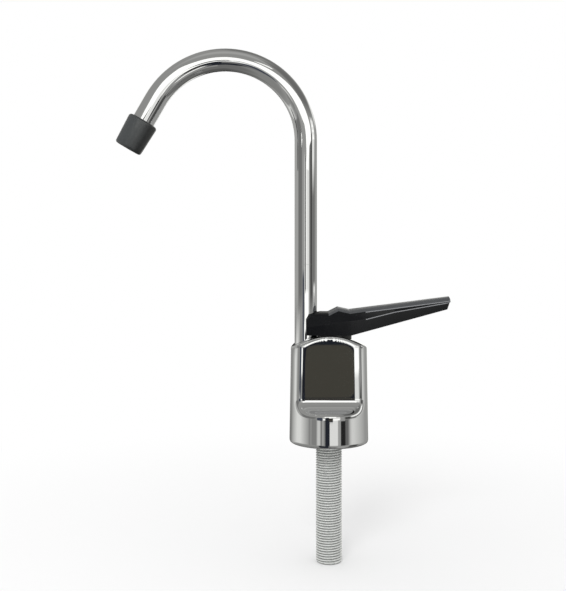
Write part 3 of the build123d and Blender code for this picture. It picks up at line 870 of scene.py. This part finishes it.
def floor_material():
    """Pale and matt near the tap, where it takes the shadow, and the backdrop's white far off."""
    material, tree, shader = new_material("floor_white")
    shader.inputs["Base Color"].default_value = (0.93, 0.93, 0.93, 1.0)
    shader.inputs["Roughness"].default_value = 0.9
    shader.inputs["Specular IOR Level"].default_value = 0.0
    place = tree.nodes.new("ShaderNodeTexCoord")
    away = tree.nodes.new("ShaderNodeVectorMath")
    away.operation = "LENGTH"
    fade = tree.nodes.new("ShaderNodeMapRange")
    fade.interpolation_type = "SMOOTHSTEP"
    fade.inputs["From Min"].default_value = FLOOR_FADE[0]
    fade.inputs["From Max"].default_value = FLOOR_FADE[1]
    tree.links.new(place.outputs["Object"], away.inputs[0])
    tree.links.new(away.outputs["Value"], fade.inputs["Value"])
    path = tree.nodes.new("ShaderNodeLightPath")
    share = tree.nodes.new("ShaderNodeMath")
    share.operation = "MULTIPLY"
    tree.links.new(fade.outputs["Result"], share.inputs[0])
    tree.links.new(path.outputs["Is Camera Ray"], share.inputs[1])
    white = tree.nodes.new("ShaderNodeEmission")
    mix = tree.nodes.new("ShaderNodeMixShader")
    out = tree.nodes["Material Output"]
    tree.links.new(share.outputs["Value"], mix.inputs["Fac"])
    tree.links.new(shader.outputs["BSDF"], mix.inputs[1])
    tree.links.new(white.outputs["Emission"], mix.inputs[2])
    tree.links.new(mix.outputs["Shader"], out.inputs["Surface"])
    return material


def make_world():
    """Even soft light, and a white background for the camera, reflections and glass."""
    world = bpy.data.worlds.new("studio")
    bpy.context.scene.world = world
    world.use_nodes = True
    tree = world.node_tree
    tree.nodes.clear()
    light = tree.nodes.new("ShaderNodeBackground")
    light.inputs["Color"].default_value = (1.0, 1.0, 1.0, 1.0)
    light.inputs["Strength"].default_value = WORLD_LIGHT
    backdrop = tree.nodes.new("ShaderNodeBackground")
    backdrop.inputs["Color"].default_value = (1.0, 1.0, 1.0, 1.0)
    backdrop.inputs["Strength"].default_value = 1.0
    path = tree.nodes.new("ShaderNodeLightPath")
    seen = tree.nodes.new("ShaderNodeMath")
    seen.operation = "MAXIMUM"
    tree.links.new(path.outputs["Is Camera Ray"], seen.inputs[0])
    tree.links.new(path.outputs["Is Glossy Ray"], seen.inputs[1])
    either = tree.nodes.new("ShaderNodeMath")
    either.operation = "MAXIMUM"
    tree.links.new(seen.outputs["Value"], either.inputs[0])
    tree.links.new(path.outputs["Is Transmission Ray"], either.inputs[1])
    mix = tree.nodes.new("ShaderNodeMixShader")
    tree.links.new(either.outputs["Value"], mix.inputs["Fac"])
    tree.links.new(light.outputs["Background"], mix.inputs[1])
    tree.links.new(backdrop.outputs["Background"], mix.inputs[2])
    out = tree.nodes.new("ShaderNodeOutputWorld")
    tree.links.new(mix.outputs["Shader"], out.inputs["Surface"])


def hang_lamp(name, data, place, aim):
    """A lamp at a place in metres, turned to its aim, which reflections don't see."""
    lamp = bpy.data.objects.new(name, data)
    lamp.location = place
    lamp.rotation_euler = (aim - place).to_track_quat("-Z", "Y").to_euler()
    lamp.visible_glossy = False
    lamp.visible_camera = False
    link(lamp)


def make_key_lamp():
    """A large soft lamp from the front, above and slightly left."""
    data = bpy.data.lights.new("key", "AREA")
    data.shape = "DISK"
    data.size = KEY_SIZE
    data.energy = KEY_POWER
    hang_lamp("key", data, KEY_PLACE, SURROUND_CENTRE)


def make_tip_lamp():
    """A narrow lamp from the front left that reaches the spout's black tip alone."""
    data = bpy.data.lights.new("tip_lamp", "SPOT")
    data.energy = TIP_LAMP_POWER
    data.spot_size = math.radians(TIP_LAMP_CONE)
    data.spot_blend = 0.5
    data.shadow_soft_size = TIP_LAMP_RADIUS
    hang_lamp("tip_lamp", data, TIP_LAMP_PLACE, TIP_LAMP_AIM)


def make_camera():
    """The camera that took the photograph, fitted to the tap's outline."""
    data = bpy.data.cameras.new("camera")
    data.lens = CAMERA_LENS
    data.sensor_width = CAMERA_SENSOR
    data.shift_y = CAMERA_SHIFT
    data.clip_start = 0.01
    data.clip_end = 20.0
    camera = bpy.data.objects.new("camera", data)
    camera.location = CAMERA_PLACE
    camera.rotation_euler = (math.radians(90 - CAMERA_PITCH), 0, 0)
    link(camera)
    bpy.context.scene.camera = camera


materials = make_materials()
dress_nodes(materials)
make_body(materials)
make_shank()
make_lever(materials)
make_spout_tip(materials)
make_walls()
make_low_cards()
make_high_cards()
make_front_cards()
make_near_cards()
make_floor()
make_world()
make_key_lamp()
make_tip_lamp()
make_camera()
bpy.context.scene.view_settings.view_transform = "Standard"
